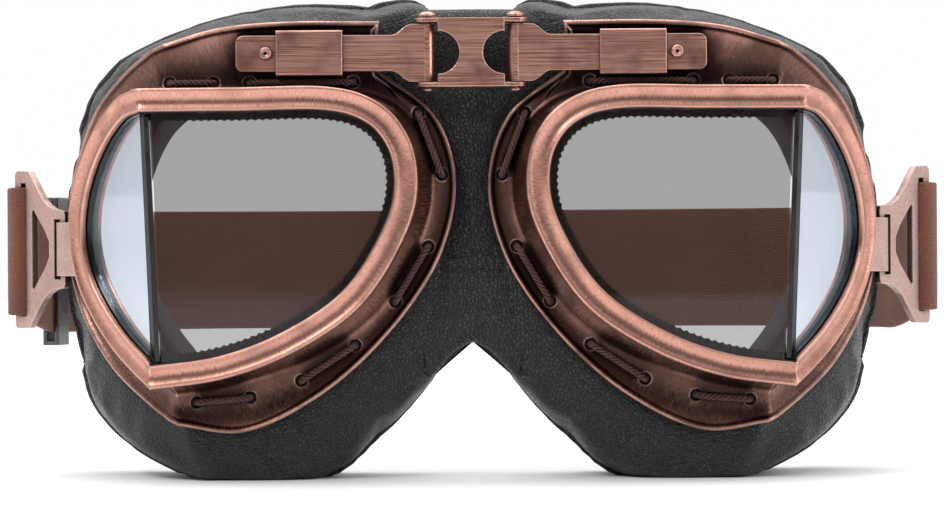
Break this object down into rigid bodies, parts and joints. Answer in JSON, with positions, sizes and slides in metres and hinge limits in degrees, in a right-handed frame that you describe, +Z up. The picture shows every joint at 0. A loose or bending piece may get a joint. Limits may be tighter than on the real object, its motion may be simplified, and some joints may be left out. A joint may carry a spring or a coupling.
{
  "type": "motorcycle goggles",
  "caption": "Aviator-style riding goggles: hinged metal eye cups with two-pane lenses, laced leather face pad, buckles and elastic strap.",
  "frame": {"origin": "centre of the overall box in plan, at the height of the leather pads' flat undersides", "axes": "+Z up, -Y towards the front that the panes face, +X to the right as seen from the front; the left cup is at -X"},
  "size_m": [0.219, 0.1278, 0.1072],
  "materials": {
    "copper": "antique copper plate, brushed, with bright worn edges and dark recesses",
    "buckle_metal": "matt rose-copper plate",
    "dark_metal": "blackened steel",
    "black_rubber": "glossy moulded",
    "smoke_lens": "warm smoke tint, polished",
    "mirror_lens": "light mirror coat",
    "leather": "fine pebble grain, semi-gloss",
    "foam": "open-cell foam",
    "lacing_cord": "tight braid",
    "webbing": "ribbed elastic weave"
  },
  "bodies": {
    "bridge": {"bridge_link": "copper", "left_hinge_pin": "copper", "right_hinge_pin": "copper", "nose_saddle": "leather", "strap_back": "webbing"},
    "left_arm": {"left_arm": "copper", "left_stop_rivet": "copper"},
    "left_cup": {"left_frame_plate": "copper", "left_bezel": "copper", "left_gasket": "black_rubber", "left_front_lens": "smoke_lens", "left_side_lens": "mirror_lens", "left_seam_strip": "black_rubber", "left_sleeve": "copper", "left_cushion": "leather", "left_foam_liner": "foam", "left_lacing": "lacing_cord", "left_buckle_lug": "buckle_metal"},
    "left_buckle": {"left_buckle": "buckle_metal", "left_strap_end": "webbing"},
    "right_arm": {"right_arm": "copper", "right_stop_rivet": "copper"},
    "right_cup": {"right_frame_plate": "copper", "right_bezel": "copper", "right_gasket": "black_rubber", "right_front_lens": "smoke_lens", "right_side_lens": "mirror_lens", "right_seam_strip": "black_rubber", "right_sleeve": "copper", "right_cushion": "leather", "right_foam_liner": "foam", "right_lacing": "lacing_cord", "right_buckle_lug": "buckle_metal"},
    "right_buckle": {"right_buckle": "buckle_metal", "right_strap_end": "webbing"},
    "slider": {"strap_slider": "dark_metal"}
  },
  "joints": [
    {"name": "left_bridge_hinge", "type": "hinge", "parent": "bridge", "child": "left_arm", "pos_m": [-0.0098, -0.05448, 0.0955], "axis": [0, 0, 1], "range_deg": [-6, 12], "deforming": ["nose_saddle", "strap_back"]},
    {"name": "left_arm_slide", "type": "slide", "parent": "left_arm", "child": "left_cup", "axis": [-1, 0, 0], "range_m": [-0.0022, 0.0007], "deforming": ["nose_saddle", "strap_back"]},
    {"name": "left_buckle_hinge", "type": "hinge", "parent": "left_cup", "child": "left_buckle", "pos_m": [-0.09426, -0.02449, 0.0524], "axis": [0, 0, 1], "range_deg": [-16, 40], "deforming": ["strap_back"]},
    {"name": "right_bridge_hinge", "type": "hinge", "parent": "bridge", "child": "right_arm", "pos_m": [0.0098, -0.05448, 0.0955], "axis": [0, 0, 1], "range_deg": [-12, 6], "deforming": ["nose_saddle", "strap_back"]},
    {"name": "right_arm_slide", "type": "slide", "parent": "right_arm", "child": "right_cup", "axis": [1, 0, 0], "range_m": [-0.0022, 0.0007], "deforming": ["nose_saddle", "strap_back"]},
    {"name": "right_buckle_hinge", "type": "hinge", "parent": "right_cup", "child": "right_buckle", "pos_m": [0.09426, -0.02449, 0.0524], "axis": [0, 0, 1], "range_deg": [-40, 16], "deforming": ["strap_back"]},
    {"name": "slider_slide", "type": "slide", "parent": "left_buckle", "child": "slider", "axis": [0.2382, 0.9712, 0], "range_m": [-0.003, 0.002], "deforming": ["strap_back"]}
  ]
}
